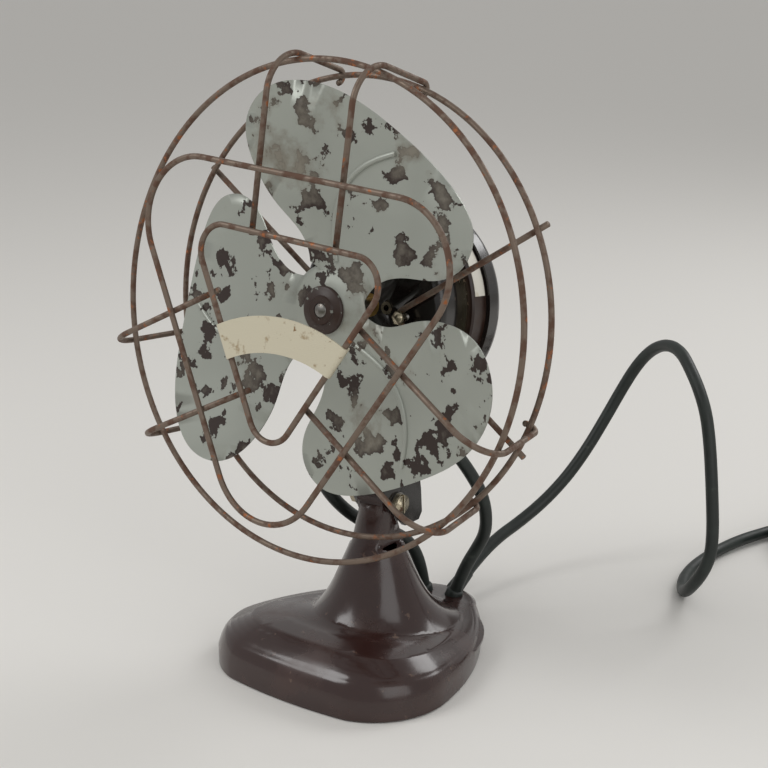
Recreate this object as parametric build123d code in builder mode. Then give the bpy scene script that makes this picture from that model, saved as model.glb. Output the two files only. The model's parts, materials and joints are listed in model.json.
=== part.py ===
"""Electric desk fan with a pressed three-blade rotor, a wire guard and a moulded stand.

Millimetres, +Z up. The origin is on the table under the column's axis, and the fan faces -Y.
The head is drawn from its tilt pivot: across (X), rise (up the fan's face) and ahead (along the fan axis).
"""
from build123d import *
import math
import os

os.makedirs("parts", exist_ok=True)

# ---------------------------------------------------------------- driving dimensions
# Stand
front_reach = 84.2
side_reach = 72.0
rear_reach = 79.0
shell_lift = 0.8
rim_top = 10.3
shell_wall = 3.6
pad_thickness = 2.0
plate_thickness = 1.5
plate_gap = 1.2
crest_height = 29.0
rear_height = 12.7
step_rise = 1.1
flare_foot_radius = 62.0
column_mid_radius = 19.0
column_top_radius = 9.7
base_screw_radius = 1.5
base_screw_head_radius = 3.0
boss_radius = 4.5
# Tilt joint
pivot_height = 91.0
pivot_setback = 3.0
rest_tilt = 6.7
tongue_radius = 9.5
tongue_half_width = 9.0
cheek_thickness = 2.8
tilt_gap = 0.3
tilt_bolt_radius = 3.0
running_gap = 0.05
swing_pocket_radius = 27.5
# Rotor axis and guard, from the pivot
axis_rise = 112.6
guard_drop = 1.5
front_ring_ahead = 72.5
front_ring_radius = 130.0
rear_ring_radius = 123.4
ring_spacing = 35.7
wire_diameter = 3.2
weld_gap = 0.1
guard_face_ahead = 20.4
spoke_offset = 27.6
spoke_hook_arc = 160.0
spoke_start_reach = 37.5
triangle_turn = -3.5
large_triangle_inradius = 72.0
large_triangle_corner = 35.0
small_triangle_inradius = 40.0
small_triangle_corner = 14.5
banner_thickness = 0.8
banner_crown = 0.6
banner_width = 19.0
# Motor
motor_face_back = 50.0
bell_radius = 48.0
bell_length = 18.5
trim_radius = 51.0
trim_length = 1.6
drum_radius = 54.5
drum_length = 12.0
cover_radius = 57.0
cover_length = 18.0
cover_crown = 0.9
cover_crown_radius = 28.0
housing_wall = 3.0
shaft_radius = 4.0
bearing_radius = 6.5
bearing_length = 13.0
rear_bearing_length = 7.8
core_outer_radius = 51.2
core_length = 16.5
air_gap = 0.5
armature_radius = 23.0
stud_spacing = 50.0
stud_drop = 3.0
stud_radius = 2.0
cap_nut_radius = 4.2
cap_dome_radius = 3.5
eyelet_offset = 12.0
eyelet_radius = 2.6
# Rotor
blade_count = 3
blade_turn = 64.5
blade_sheet = 0.9
blade_root_back = 15.5
hub_disc_radius = 24.0
hub_raise = 3.2
boss_disc_radius = 12.8
boss_disc_length = 3.6
# Cords
cord_diameter = 7.6
relief_length = 22.0
grommet_length = 9.0
bush_length = 12.0
coil_mid_radius = 42.0
coil_pitch = 8.2
coil_turns = 5.0
tie_thickness = 0.8
tie_width = 6.0
plug_length = 30.0
pin_spacing = 12.7
pin_radius = 2.0
pin_length = 17.0

wire_radius = wire_diameter / 2
cord_radius = cord_diameter / 2
wire_step = wire_diameter + weld_gap
coil_level = cord_radius + tie_thickness + 0.5


def write_piece(builder, name):
    """Label the finished piece and write its STEP file."""
    builder.part.label = name
    export_step(builder.part, f"parts/{name}.step")


# ---------------------------------------------------------------- frames
tilt_sin = math.sin(math.radians(rest_tilt))
tilt_cos = math.cos(math.radians(rest_tilt))
pivot = Vector(0, pivot_setback, pivot_height)
across = Vector(1, 0, 0)
forward = Vector(0, -tilt_cos, tilt_sin)
upward = Vector(0, tilt_sin, tilt_cos)


def head_point(x, rise, ahead):
    """Point of the head, measured from the tilt pivot."""
    return pivot + across * x + upward * rise + forward * ahead


def axis_plane(ahead=0.0):
    """Plane square to the rotor axis, this far ahead of the front ring; local X and Y are across and up."""
    return Plane(head_point(0, axis_rise, front_ring_ahead + ahead), x_dir=across, z_dir=forward)


def guard_plane(ahead=0.0):
    """Plane square to the guard's own centre line, this far ahead of the front ring."""
    return Plane(head_point(0, axis_rise - guard_drop, front_ring_ahead + ahead), x_dir=across, z_dir=forward)


axis_origin = head_point(0, axis_rise, front_ring_ahead)
axis_side = Plane(axis_origin, x_dir=upward, z_dir=across)
rotor_axis = Axis(axis_origin, forward)


# ---------------------------------------------------------------- stand
def outline_face(plane, share):
    """The base's shield outline, drawn in towards the column by a share of its reach."""
    front = front_reach * share
    side = side_reach * share
    rear = rear_reach * share
    with BuildSketch(plane) as outline:
        with BuildLine():
            ThreePointArc((-0.56 * side, -0.966 * front), (0, -front), (0.56 * side, -0.966 * front))
            ThreePointArc((0.56 * side, -0.966 * front), (0.86 * side, -0.80 * front), (side, -0.39 * front))
            ThreePointArc((side, -0.39 * front), (0.805 * side, 0.228 * rear), (0.36 * side, 0.81 * rear))
            ThreePointArc((0.36 * side, 0.81 * rear), (0, rear), (-0.36 * side, 0.81 * rear))
            ThreePointArc((-0.36 * side, 0.81 * rear), (-0.805 * side, 0.228 * rear), (-side, -0.39 * front))
            ThreePointArc((-side, -0.39 * front), (-0.86 * side, -0.80 * front), (-0.56 * side, -0.966 * front))
        make_face()
    return outline.sketch


def sloping_plane(share, front_height, rear_height_here):
    """Plane over the base that is high at the front and low at the rear of a drawn-in outline."""
    length = (front_reach + rear_reach) * share
    slope = (front_height - rear_height_here) / length
    centre = rear_height_here + rear_reach * share * slope
    angle = math.atan(slope)
    return Plane((0, 0, centre), x_dir=(1, 0, 0), z_dir=(0, math.sin(angle), math.cos(angle)))


def dome_level(share, rise, step):
    """Sloping outline part of the way up the dome, with the front steps that lie below it."""
    front_height = rim_top + (crest_height - 4 * step_rise - rim_top) * rise + step * step_rise
    rear_here = rim_top + (rear_height - rim_top) * (rise * 0.8 + step * 0.05)
    return outline_face(sloping_plane(share, front_height, rear_here), share)


# share of the outline, share of the dome's smooth rise, steps passed
dome_levels = [
    (0.985, 0.34, 0), (0.965, 0.62, 0), (0.945, 0.78, 0), (0.925, 0.85, 0), (0.918, 0.87, 1),
    (0.885, 0.91, 1), (0.878, 0.92, 2), (0.845, 0.94, 2), (0.838, 0.95, 3), (0.800, 0.97, 3),
    (0.793, 0.975, 4), (0.700, 0.99, 4), (0.600, 1.0, 4),
]
column_profile = [
    (flare_foot_radius, rear_height - 0.9), (50.0, 15.5), (40.0, 22.0), (32.0, 30.5), (24.0, 45.0),
    (column_mid_radius, 57.0), (14.6, 68.0), (12.2, 77.0), (10.6, 84.0), (column_top_radius, pivot_height),
]
plate_share = 1 - (shell_wall + plate_gap) / side_reach
base_screw_places = [(46, -46), (-46, -46), (24, 38), (-24, 38)]
mains_exit = Vector(-0.3, 74.4, 7.2)
mains_heading = Vector(-0.08, 0.94, 0.33).normalized()
lead_exits = {"left": (Vector(-10, 61, 11.0), Vector(-0.07, -0.13, 0.99)),
              "right": (Vector(8, 65, 11.0), Vector(0.30, 0.16, 0.94))}
relief_root_radius = 4.9
grommet_root_radius = 5.2


def exit_plane(point, heading, along=0.0):
    """Plane square to a cord exit."""
    return Plane(point + heading * along, z_dir=heading)


with BuildPart() as stand_shell:
    with BuildSketch(Plane.XY.offset(shell_lift)):
        add(outline_face(Plane.XY.offset(shell_lift), 1.0))
    extrude(amount=rim_top - shell_lift)
    add(outline_face(Plane.XY.offset(rim_top), 1.0))
    for share, rise, step in dome_levels:
        add(dome_level(share, rise, step))
    loft(ruled=True)
    # Flared column
    with BuildSketch(Plane.XZ):
        with BuildLine():
            flare = Spline(*column_profile, tangents=((-1, 0.12), (-0.1, 1)))
            Polyline(flare @ 1, (0, pivot_height), (0, rim_top), (flare_foot_radius, rim_top), flare @ 0)
        make_face()
    revolve(axis=Axis.Z)
    # Tongue round the tilt pivot
    with BuildSketch(Plane.YZ.offset(-tongue_half_width)):
        with Locations((pivot_setback, pivot_height)):
            Circle(tongue_radius)
    extrude(amount=2 * tongue_half_width)
    # Flats that the bracket's cheeks swing beside
    for side in (-1, 1):
        with BuildSketch(Plane.YZ.offset(side * tongue_half_width)):
            with Locations((pivot_setback, pivot_height)):
                Circle(swing_pocket_radius)
        extrude(amount=side * side_reach, mode=Mode.SUBTRACT)
    # Hollow under the dome
    inner_share = 1 - shell_wall / side_reach
    add(outline_face(Plane.XY.offset(shell_lift), inner_share))
    add(outline_face(Plane.XY.offset(rim_top - shell_wall), inner_share))
    add(outline_face(sloping_plane(0.90, rim_top + 5.5, rim_top - shell_wall + 1.0), 0.90))
    add(outline_face(sloping_plane(0.80, crest_height - shell_wall - 4.0, rear_height - shell_wall), 0.80))
    add(outline_face(sloping_plane(0.60, crest_height - shell_wall - 1.0, rear_height - shell_wall + 0.2), 0.60))
    loft(ruled=True, mode=Mode.SUBTRACT)
    with BuildSketch(Plane.XZ):
        with BuildLine():
            hollow = Spline((42.0, 13.5), (32.0, 22.5), (25.0, 34.0), (column_mid_radius - shell_wall, 55.0),
                            (10.6, 66.0))
            Polyline(hollow @ 1, (0, 66.0), (0, shell_wall * 2), (42.0, shell_wall * 2), hollow @ 0)
        make_face()
    revolve(axis=Axis.Z, mode=Mode.SUBTRACT)
    # Bosses for the base plate's screws
    plate_top = pad_thickness + plate_thickness
    with BuildSketch(Plane.XY.offset(plate_top)):
        with Locations(*base_screw_places):
            Circle(boss_radius)
    extrude(until=Until.NEXT)
    with BuildSketch(Plane.XY.offset(plate_top)):
        with Locations(*base_screw_places):
            Circle(base_screw_radius + running_gap)
    extrude(amount=5.0, mode=Mode.SUBTRACT)
    # Bore of the tilt bolt
    with BuildSketch(Plane.YZ.offset(-side_reach)):
        with Locations((pivot_setback, pivot_height)):
            Circle(tilt_bolt_radius + running_gap)
    extrude(amount=2 * side_reach, mode=Mode.SUBTRACT)
    # Holes for the strain relief and the grommets
    with BuildSketch(exit_plane(mains_exit, mains_heading)):
        Circle(relief_root_radius + running_gap)
    extrude(amount=relief_length, mode=Mode.SUBTRACT)
    for point, heading in lead_exits.values():
        with BuildSketch(exit_plane(point, heading, -grommet_length / 2)):
            Circle(grommet_root_radius + running_gap)
        extrude(amount=grommet_length * 2, mode=Mode.SUBTRACT)
write_piece(stand_shell, "stand_shell")

with BuildPart() as base_plate:
    add(outline_face(Plane.XY.offset(pad_thickness), plate_share))
    extrude(amount=plate_thickness)
    with BuildSketch(Plane.XY.offset(pad_thickness)):
        with Locations(*base_screw_places):
            Circle(base_screw_radius + running_gap)
    extrude(amount=plate_thickness, mode=Mode.SUBTRACT)
write_piece(base_plate, "base_plate")

with BuildPart() as base_pad:
    add(outline_face(Plane.XY, plate_share))
    extrude(amount=pad_thickness)
    with BuildSketch():
        with Locations(*base_screw_places):
            Circle(base_screw_head_radius + 2 * weld_gap)
    extrude(amount=pad_thickness, mode=Mode.SUBTRACT)
write_piece(base_pad, "base_pad")

screw_head_height = 1.4
with BuildPart() as base_plate_screws:
    with BuildSketch(Plane.XY.offset(pad_thickness - screw_head_height)):
        with Locations(*base_screw_places):
            Circle(base_screw_head_radius)
    extrude(amount=screw_head_height)
    with BuildSketch(Plane.XY.offset(pad_thickness)):
        with Locations(*base_screw_places):
            Circle(base_screw_radius)
    extrude(amount=plate_thickness + 4.5)
write_piece(base_plate_screws, "base_plate_screws")

# Terminal block inside the base, where the mains cord meets the motor leads
block_width = 34.0
block_depth = 14.0
block_height = 10.0
block_centre = 14.0
terminal_spacing = 9.0
terminal_radius = 2.2
with BuildPart(Plane((0, block_centre, plate_top))) as terminal_block:
    Box(block_width, block_depth, block_height, align=(Align.CENTER, Align.CENTER, Align.MIN))
    chamfer(terminal_block.edges().filter_by(Axis.Z), length=1.5)
    with Locations((0, 0, block_height)):
        with GridLocations(terminal_spacing, block_depth / 2, 3, 2):
            Hole(radius=terminal_radius + running_gap, depth=block_height / 2)
write_piece(terminal_block, "terminal_block")

with BuildPart(Plane((0, block_centre, plate_top + block_height / 2))) as terminal_screws:
    with GridLocations(terminal_spacing, block_depth / 2, 3, 2):
        Cylinder(terminal_radius, block_height / 2 + 0.6, align=(Align.CENTER, Align.CENTER, Align.MIN))
write_piece(terminal_screws, "terminal_screws")

relief_tip_radius = cord_radius + 0.5
with BuildPart() as mains_strain_relief:
    with BuildSketch(exit_plane(mains_exit, mains_heading)):
        Circle(relief_root_radius)
    with BuildSketch(exit_plane(mains_exit, mains_heading, 8)):
        Circle(relief_root_radius)
    with BuildSketch(exit_plane(mains_exit, mains_heading, relief_length)):
        Circle(relief_tip_radius)
    loft(ruled=True)
write_piece(mains_strain_relief, "mains_strain_relief")


def make_grommet(point, heading):
    """Rubber grommet with a collar, through the stand's rear."""
    with BuildPart() as grommet:
        with BuildSketch(exit_plane(point, heading, -grommet_length / 2)):
            Circle(grommet_root_radius)
        with BuildSketch(exit_plane(point, heading, grommet_length / 2)):
            Circle(grommet_root_radius)
        with BuildSketch(exit_plane(point, heading, grommet_length * 0.6)):
            Circle(cord_radius + 0.8)
        loft(ruled=True)
    return grommet


for side, (point, heading) in lead_exits.items():
    write_piece(make_grommet(point, heading), f"lead_grommet_{side}")

# ---------------------------------------------------------------- tilt joint
# Stations along the motor, ahead of the front ring
bell_front = -motor_face_back
bell_back = bell_front - bell_length
trim_back = bell_back - trim_length
drum_back = trim_back - drum_length
cover_back = drum_back - cover_length

cheek_inner = tongue_half_width + tilt_gap
cheek_outer = cheek_inner + cheek_thickness
# Cheek edge as (behind the pivot, above the pivot)
cheek_edge = [(-14, 14), (21, 14), (23, 2), (24, -12), (21, -16), (8, -16), (1, -9), (-8, 0)]
motor_seat_gap = weld_gap
with BuildPart() as neck_bracket:
    for side in (-1, 1):
        with BuildSketch(Plane.YZ.offset(side * cheek_inner)):
            with Locations((pivot_setback, pivot_height)):
                with BuildLine():
                    Polyline(*[(y + pivot_setback, z + pivot_height) for y, z in cheek_edge], close=True)
                make_face()
        extrude(amount=side * cheek_thickness)
    # Web behind the tongue
    with BuildSketch(Plane.YZ.offset(-cheek_outer)):
        with BuildLine():
            web = [(18, 14), (21, 14), (23, 2), (23.6, -7), (20.4, -7), (18, 2)]
            Polyline(*[(y + pivot_setback, z + pivot_height) for y, z in web], close=True)
        make_face()
    extrude(amount=2 * cheek_outer)
    # Post up to the motor
    with BuildSketch(Plane.YZ.offset(-cheek_outer)):
        with BuildLine():
            post = [(-14, 14), (-14, 24), (-11, axis_rise - 30), (8, axis_rise - 30), (8, 48), (21, 22), (21, 14)]
            Polyline(*[(y + pivot_setback, z + pivot_height) for y, z in post], close=True)
        make_face()
    extrude(amount=2 * cheek_outer)
    for radius, start in ((bell_radius, cover_radius - motor_face_back), (drum_radius, bell_back),
                          (cover_radius, drum_back)):
        with BuildSketch(axis_plane(start)):
            Circle(radius + motor_seat_gap)
        extrude(amount=-4 * cover_radius, mode=Mode.SUBTRACT)
    with BuildSketch(Plane.YZ.offset(-side_reach)):
        with Locations((pivot_setback, pivot_height)):
            Circle(tilt_bolt_radius + running_gap)
    extrude(amount=2 * side_reach, mode=Mode.SUBTRACT)
write_piece(neck_bracket, "neck_bracket")

washer_radius = 6.5
washer_thickness = 1.0
bolt_head_height = 3.4
bolt_head_radius = 5.5
with BuildPart() as tilt_washers:
    for side in (-1, 1):
        with BuildSketch(Plane.YZ.offset(side * cheek_outer)):
            with Locations((pivot_setback, pivot_height)):
                Circle(washer_radius)
                Circle(tilt_bolt_radius + running_gap, mode=Mode.SUBTRACT)
        extrude(amount=side * washer_thickness)
write_piece(tilt_washers, "tilt_washers")

bolt_seat = cheek_outer + washer_thickness
with BuildPart() as tilt_bolt:
    with BuildSketch(Plane.YZ.offset(-bolt_seat - 6.0)):
        with Locations((pivot_setback, pivot_height)):
            Circle(tilt_bolt_radius)
    extrude(amount=2 * bolt_seat + 6.0)
    with BuildSketch(Plane.YZ.offset(bolt_seat)):
        with Locations((pivot_setback, pivot_height)):
            Circle(bolt_head_radius)
    extrude(amount=bolt_head_height)
    with BuildSketch(Plane.YZ.offset(bolt_seat + bolt_head_height)):
        with Locations((pivot_setback, pivot_height)):
            Rectangle(1.2, 2 * bolt_head_radius)
    extrude(amount=-bolt_head_height / 2, mode=Mode.SUBTRACT)
write_piece(tilt_bolt, "tilt_bolt")

tilt_nut_height = 5.0
with BuildPart() as tilt_nut:
    with BuildSketch(Plane.YZ.offset(-bolt_seat)):
        with Locations((pivot_setback, pivot_height)):
            RegularPolygon(bolt_head_radius, 6)
            Circle(tilt_bolt_radius + running_gap, mode=Mode.SUBTRACT)
    extrude(amount=-tilt_nut_height)
write_piece(tilt_nut, "tilt_nut")

# ---------------------------------------------------------------- motor
stud_places = [(-stud_spacing / 2, -stud_drop), (stud_spacing / 2, -stud_drop)]


def ring_face(outline):
    """Face inside a closed outline of (radius, ahead) points, in a plane through the rotor axis."""
    with BuildSketch(axis_side) as section:
        with BuildLine():
            Polyline(*outline, close=True)
        make_face()
    return section.sketch


bell_edge = 5.0
with BuildPart() as motor_front_bell:
    with BuildSketch(axis_side):
        with BuildLine():
            Polyline((bearing_radius + running_gap, bell_front), (bell_radius - bell_edge, bell_front))
            ThreePointArc((bell_radius - bell_edge, bell_front),
                          (bell_radius - 0.29 * bell_edge, bell_front - 0.29 * bell_edge),
                          (bell_radius, bell_front - bell_edge))
            Polyline((bell_radius, bell_front - bell_edge), (bell_radius, bell_back),
                     (bell_radius - housing_wall, bell_back), (bell_radius - housing_wall, bell_front - bell_edge),
                     (bell_radius - bell_edge, bell_front - housing_wall),
                     (bearing_radius + housing_wall, bell_front - housing_wall),
                     (bearing_radius + housing_wall, bell_front - bearing_length),
                     (bearing_radius + running_gap, bell_front - bearing_length),
                     (bearing_radius + running_gap, bell_front))
        make_face()
    revolve(axis=rotor_axis)
    with BuildSketch(axis_plane(bell_front)):
        with Locations(*stud_places):
            Circle(stud_radius + running_gap)
        with Locations((eyelet_offset, 0)):
            Circle(eyelet_radius + running_gap)
    extrude(amount=-housing_wall, mode=Mode.SUBTRACT)
write_piece(motor_front_bell, "motor_front_bell")

with BuildPart() as motor_trim_ring:
    trim_section = ring_face([(bell_radius - housing_wall, bell_back), (trim_radius, bell_back),
                              (trim_radius, trim_back), (bell_radius - housing_wall, trim_back)])
    revolve(trim_section, axis=rotor_axis)
write_piece(motor_trim_ring, "motor_trim_ring")

core_front = trim_back - 1.5
core_back = core_front - core_length
drum_bore = core_outer_radius + running_gap
with BuildPart() as motor_drum:
    drum_section = ring_face([(bell_radius - housing_wall, trim_back), (drum_radius - 1, trim_back),
                              (drum_radius, trim_back - 1), (drum_radius, drum_back), (drum_bore, drum_back),
                              (drum_bore, core_front), (bell_radius - housing_wall, core_front)])
    revolve(drum_section, axis=rotor_axis)
write_piece(motor_drum, "motor_drum")

cover_edge = 7.0
cover_flat = cover_back + 4.0
bush_places = {"left": (-120.0, -20.0), "right": (-76.0, 30.0)}
bush_back = drum_back - 7.0
bush_seat = 2.5


def bush_frame(side):
    """Point on the cover's wall and outward heading of a motor lead's bush."""
    angle, lean = (math.radians(value) for value in bush_places[side])
    radial = across * math.cos(angle) + upward * math.sin(angle)
    point = axis_origin + radial * (cover_radius - bush_seat) + forward * bush_back
    heading = radial * math.cos(lean) - forward * math.sin(lean)
    return point, heading


with BuildPart() as motor_rear_cover:
    with BuildSketch(axis_side):
        with BuildLine():
            Polyline((drum_bore, drum_back), (cover_radius, drum_back), (cover_radius, cover_flat + cover_edge))
            ThreePointArc((cover_radius, cover_flat + cover_edge),
                          (cover_radius - 0.29 * cover_edge, cover_flat + 0.29 * cover_edge),
                          (cover_radius - cover_edge, cover_flat))
            ThreePointArc((cover_radius - cover_edge, cover_flat), (cover_crown_radius, cover_back + cover_crown),
                          (bearing_radius, cover_back))
            Polyline((bearing_radius, cover_back), (0, cover_back), (0, cover_back + housing_wall),
                     (bearing_radius + running_gap, cover_back + housing_wall),
                     (bearing_radius + running_gap, cover_back + housing_wall + rear_bearing_length),
                     (bearing_radius + housing_wall, cover_back + housing_wall + rear_bearing_length),
                     (bearing_radius + housing_wall, cover_back + housing_wall + 0.6),
                     (cover_radius - cover_edge - housing_wall, cover_flat + housing_wall),
                     (drum_bore, core_back - running_gap), (drum_bore, drum_back))
        make_face()
    revolve(axis=rotor_axis)
    for side in bush_places:
        point, heading = bush_frame(side)
        with BuildSketch(exit_plane(point, heading)):
            Circle(grommet_root_radius + running_gap)
        extrude(amount=bush_length, mode=Mode.SUBTRACT)
write_piece(motor_rear_cover, "motor_rear_cover")

pole_width = 20.0
pole_root = 39.0
with BuildPart() as stator_core:
    with BuildSketch(axis_plane(core_front)):
        Circle(core_outer_radius)
        Circle(pole_root, mode=Mode.SUBTRACT)
        with PolarLocations(pole_root / 2 + 4, 4):
            Rectangle(pole_root - 6, pole_width)
        Circle(armature_radius + air_gap, mode=Mode.SUBTRACT)
    extrude(amount=-core_length)
write_piece(stator_core, "stator_core")

coil_overhang = 4.0
coil_wall = 4.0
coil_depth = 8.5
coil_width = pole_width + 2 * coil_wall
coil_outer = math.sqrt((pole_root - 2 * weld_gap) ** 2 - (coil_width / 2) ** 2)
coil_reach = coil_outer - coil_depth / 2
with BuildPart() as stator_coils:
    with BuildSketch(axis_plane(core_front + coil_overhang)):
        with PolarLocations(coil_reach, 4):
            Rectangle(coil_depth, coil_width)
            Rectangle(coil_depth, pole_width + 2 * weld_gap, mode=Mode.SUBTRACT)
    extrude(amount=-core_length - 2 * coil_overhang)
    for end in (core_front + coil_overhang, core_back - weld_gap):
        with BuildSketch(axis_plane(end)):
            with PolarLocations(coil_reach, 4):
                Rectangle(coil_depth, coil_width)
        extrude(amount=weld_gap - coil_overhang)
write_piece(stator_coils, "stator_coils")

bearing_bore = shaft_radius + running_gap
with BuildPart() as front_bearing:
    bearing_end = bell_front - bearing_length
    bearing_section = ring_face([(bearing_bore, bell_front), (bearing_radius, bell_front),
                                 (bearing_radius, bearing_end), (bearing_bore, bearing_end)])
    revolve(bearing_section, axis=rotor_axis)
write_piece(front_bearing, "front_bearing")

rear_bearing_back = cover_back + housing_wall
with BuildPart() as rear_bearing:
    rear_bearing_front = rear_bearing_back + rear_bearing_length
    bearing_section = ring_face([(bearing_bore, rear_bearing_back), (bearing_radius, rear_bearing_back),
                                 (bearing_radius, rear_bearing_front), (bearing_bore, rear_bearing_front)])
    revolve(bearing_section, axis=rotor_axis)
write_piece(rear_bearing, "rear_bearing")

bracket_rise = 0.6
nut_back = bell_front + wire_diameter + 2 * bracket_rise
nut_height = 3.2
stud_front = nut_back + nut_height + 1.0
with BuildPart() as guard_studs:
    with BuildSketch(axis_plane(bell_front - housing_wall)):
        with Locations(*stud_places):
            Circle(stud_radius)
    extrude(amount=stud_front - bell_front + housing_wall)
    with BuildSketch(axis_plane(bell_front - housing_wall)):
        with Locations(*stud_places):
            Circle(stud_radius + 1.8)
    extrude(amount=-2.2)
write_piece(guard_studs, "guard_studs")

with BuildPart() as cap_nuts:
    for x, y in stud_places:
        with BuildSketch(axis_plane(nut_back)):
            with Locations((x, y)):
                RegularPolygon(cap_nut_radius, 6)
        extrude(amount=nut_height)
        nut_face = axis_origin + across * x + upward * y + forward * (nut_back + nut_height)
        with Locations(Plane(nut_face, z_dir=forward)):
            Sphere(cap_dome_radius, arc_size1=0)
        with BuildSketch(axis_plane(nut_back)):
            with Locations((x, y)):
                Circle(stud_radius + running_gap)
        extrude(amount=nut_height + 1.0 + running_gap, mode=Mode.SUBTRACT)
write_piece(cap_nuts, "cap_nuts")

with BuildPart(axis_plane(bell_front)) as oil_eyelet:
    with Locations((eyelet_offset, 0)):
        Cylinder(eyelet_radius, housing_wall, align=(Align.CENTER, Align.CENTER, Align.MAX))
        Cylinder(eyelet_radius + 0.9, 0.8, align=(Align.CENTER, Align.CENTER, Align.MIN))
        Cylinder(eyelet_radius - 0.9, 3 * housing_wall, mode=Mode.SUBTRACT)
write_piece(oil_eyelet, "oil_eyelet")

plate_angle = 28.0
plate_span = 34.0
label_thickness = 0.4
plate_start = math.radians(plate_angle - plate_span / 2)
plate_edge = across * math.cos(plate_start) + upward * math.sin(plate_start)
with BuildPart() as rating_plate:
    with BuildSketch(Plane(axis_origin, x_dir=plate_edge, z_dir=plate_edge.cross(forward))):
        with Locations((drum_radius + label_thickness / 2 + running_gap, trim_back - drum_length / 2)):
            Rectangle(label_thickness, drum_length - 3)
    revolve(axis=rotor_axis, revolution_arc=plate_span)
write_piece(rating_plate, "rating_plate")


def make_bush(side):
    """Tapered rubber bush where a lead enters the motor."""
    point, heading = bush_frame(side)
    with BuildPart() as bush:
        with BuildSketch(exit_plane(point, heading)):
            Circle(grommet_root_radius)
        with BuildSketch(exit_plane(point, heading, bush_length / 2)):
            Circle(grommet_root_radius)
        with BuildSketch(exit_plane(point, heading, bush_length)):
            Circle(cord_radius + 0.8)
        loft(ruled=True)
    return bush


for side in bush_places:
    write_piece(make_bush(side), f"motor_bush_{side}")

# ---------------------------------------------------------------- rotor
shaft_back = cover_back + housing_wall + 0.4
shaft_front = -blade_root_back + hub_raise + boss_disc_length + 1.4
with BuildPart() as motor_shaft:
    with BuildSketch(axis_plane(shaft_back)):
        Circle(shaft_radius)
    extrude(amount=shaft_front - shaft_back)
    chamfer(motor_shaft.edges().sort_by(Axis(axis_origin, forward))[-1:], length=0.8)
write_piece(motor_shaft, "motor_shaft")

with BuildPart() as rotor_core:
    core_section = ring_face([(bearing_bore, core_front), (armature_radius, core_front),
                              (armature_radius, core_back), (bearing_bore, core_back)])
    revolve(core_section, axis=rotor_axis)
write_piece(rotor_core, "rotor_core")

collar_length = 5.0
collar_radius = 9.0
collar_front = -blade_root_back - 2.2
collar_back = collar_front - collar_length
with BuildPart() as shaft_collar:
    collar_section = ring_face([(bearing_bore, collar_front), (collar_radius, collar_front),
                                (collar_radius, collar_back), (bearing_bore, collar_back)])
    revolve(collar_section, axis=rotor_axis)
write_piece(shaft_collar, "shaft_collar")

# Blade edge as (out along the blade's centre line, sideways)
blade_edge = [
    (16, 22), (27, 35), (32, 52), (43, 72), (62, 86), (84, 82.5), (99, 64.5), (104.2, 42), (102.7, 11),
    (99.5, -10), (94, -32), (77, -57), (62, -58), (49, -48), (42, -35), (36, -26), (16, -17),
]
blade_pitch = 0.10
blade_camber = 0.00093
blade_twist = 0.00097
twist_centre = 62.0
strip_half = 100.0
strip_ends = (8.0, 125.0)


def blade_surface(out, side):
    """How far ahead of the front ring the blade's rear face lies."""
    return (-blade_root_back + blade_pitch * side + blade_camber * side * side
            + blade_twist * (out - twist_centre) * side)


with BuildPart() as fan_blade:
    for index in range(blade_count):
        angle = math.radians(blade_turn + index * 360 / blade_count)
        out_axis = across * math.cos(angle) + upward * math.sin(angle)
        side_axis = upward * math.cos(angle) - across * math.sin(angle)
        with BuildSketch(Plane(axis_origin - forward * 45, x_dir=out_axis, z_dir=forward)) as blank:
            with BuildLine():
                edge = Spline(*blade_edge)
                Line(edge @ 1, edge @ 0)
            make_face()
        blade_blank = extrude(blank.sketch, amount=80, mode=Mode.PRIVATE)
        sections = []
        for out in strip_ends:
            with BuildSketch(Plane(axis_origin + out_axis * out, x_dir=side_axis, z_dir=out_axis)) as strip:
                with BuildLine():
                    low = [(side, blade_surface(out, side)) for side in (-strip_half, 0, strip_half)]
                    high = [(side, height + blade_sheet) for side, height in low]
                    ThreePointArc(*low)
                    Line(low[2], high[2])
                    ThreePointArc(*high)
                    Line(high[0], low[0])
                make_face()
            sections.append(strip.sketch)
        blade_strip = loft(sections, ruled=True, mode=Mode.PRIVATE)
        add(blade_strip & blade_blank)
    hub_back = -blade_root_back + hub_raise
    hub_section = ring_face([(bearing_bore, hub_back), (boss_disc_radius, hub_back),
                             (hub_disc_radius, -blade_root_back), (hub_disc_radius, -blade_root_back + blade_sheet),
                             (boss_disc_radius + 1, hub_back + blade_sheet), (bearing_bore, hub_back + blade_sheet)])
    revolve(hub_section, axis=rotor_axis)
write_piece(fan_blade, "fan_blade")

boss_back = hub_back + blade_sheet + weld_gap
boss_rim = 1.6
boss_face = boss_back + 2.4
boss_front = boss_back + boss_disc_length
boss_nose_radius = 8.0
with BuildPart() as hub_boss:
    boss_section = ring_face([(bearing_bore, boss_back), (boss_disc_radius, boss_back),
                              (boss_disc_radius, boss_back + boss_rim), (boss_disc_radius - 1.2, boss_face),
                              (boss_nose_radius, boss_face), (boss_nose_radius - 0.6, boss_front),
                              (bearing_bore, boss_front)])
    revolve(boss_section, axis=rotor_axis)
write_piece(hub_boss, "hub_boss")

# ---------------------------------------------------------------- guard
with BuildPart(guard_plane(0)) as guard_front_ring:
    Torus(front_ring_radius, wire_radius)
write_piece(guard_front_ring, "guard_front_ring")

with BuildPart(guard_plane(-ring_spacing)) as guard_rear_ring:
    Torus(rear_ring_radius, wire_radius)
write_piece(guard_rear_ring, "guard_rear_ring")


def wire_section(path, radius=wire_radius):
    """Round section at the start of a path."""
    with BuildSketch(Plane(path.line @ 0, z_dir=path.line % 0)) as section:
        Circle(radius)
    return section.sketch


spoke_clear = 0.2
guard_centre = guard_plane(0).origin


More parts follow.
